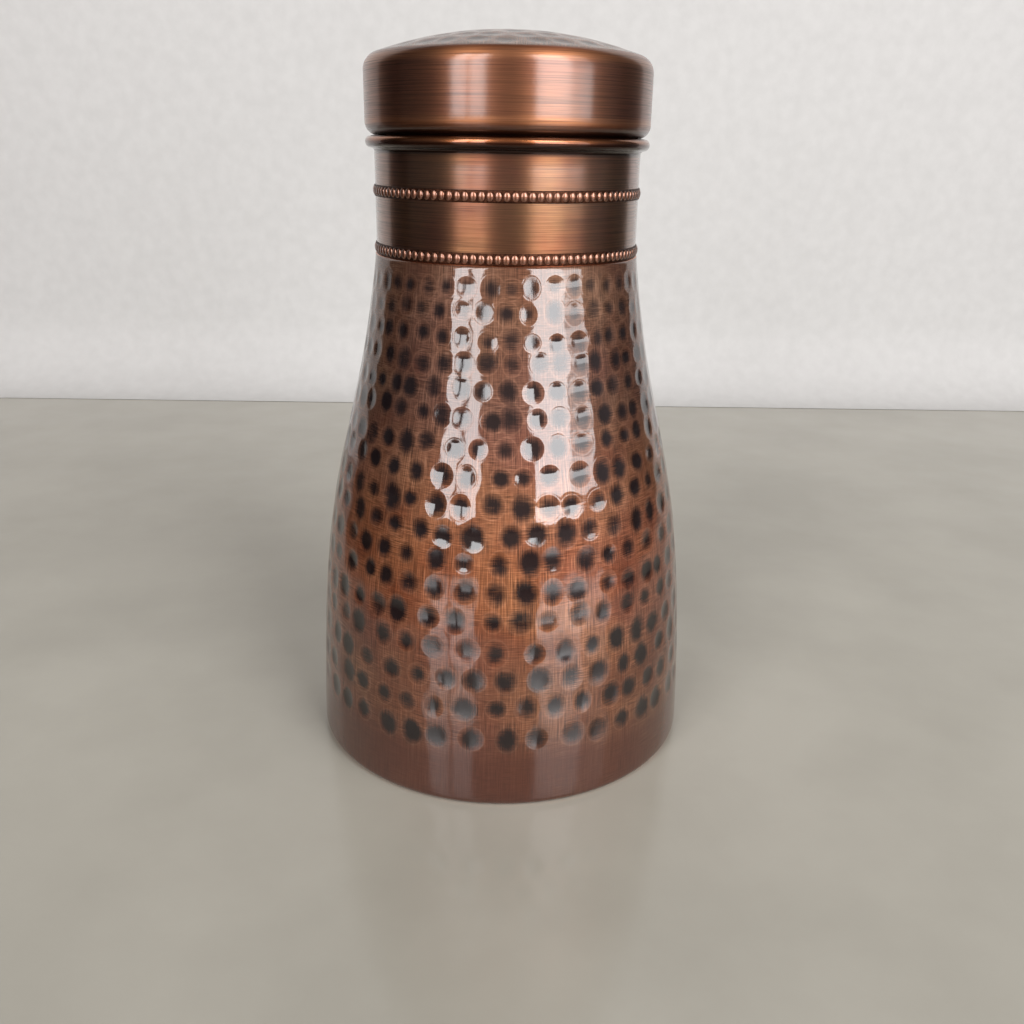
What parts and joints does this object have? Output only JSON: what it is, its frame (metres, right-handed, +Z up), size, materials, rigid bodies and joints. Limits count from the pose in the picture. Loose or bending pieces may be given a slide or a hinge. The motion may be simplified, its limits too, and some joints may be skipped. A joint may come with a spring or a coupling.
{
  "type": "copper water bottle",
  "caption": "Hammered copper water bottle with a flared body, a beaded straight neck and a domed lift-off lid that carries a drinking tumbler.",
  "frame": {"origin": "centre of the foot, on the surface that the bottle stands on", "axes": "+Z up along the bottle's axis; the bottle is a body of revolution, so X and Y are alike"},
  "size_m": [0.1118, 0.1118, 0.1982],
  "materials": {
    "hammered_copper": "hammered, antique dark in the marks, scratch-brushed on the raised copper, lacquered",
    "base_copper": "plain pressed copper, satin",
    "neck_copper": "antique, brushed round the neck, lacquered",
    "rim_wire": "bare drawn wire",
    "bead_copper": "bright bead tops, dark between the beads",
    "cap_copper": "antique, brushed round the side, hammered on the dome, lacquered",
    "tumbler_copper": "plain copper, satin"
  },
  "bodies": {
    "bottle": {"body_shell": "hammered_copper", "base_plate": "base_copper", "neck_collar": "neck_copper", "rim_wire": "rim_wire", "lower_bead_ring": "bead_copper", "upper_bead_ring": "bead_copper"},
    "lid": {"cap_shell": "cap_copper", "tumbler": "tumbler_copper"}
  },
  "joints": [
    {"name": "lid_lift", "type": "slide", "parent": "bottle", "child": "lid", "axis": [0, 0, 1], "range_m": [0, 0.1]}
  ]
}
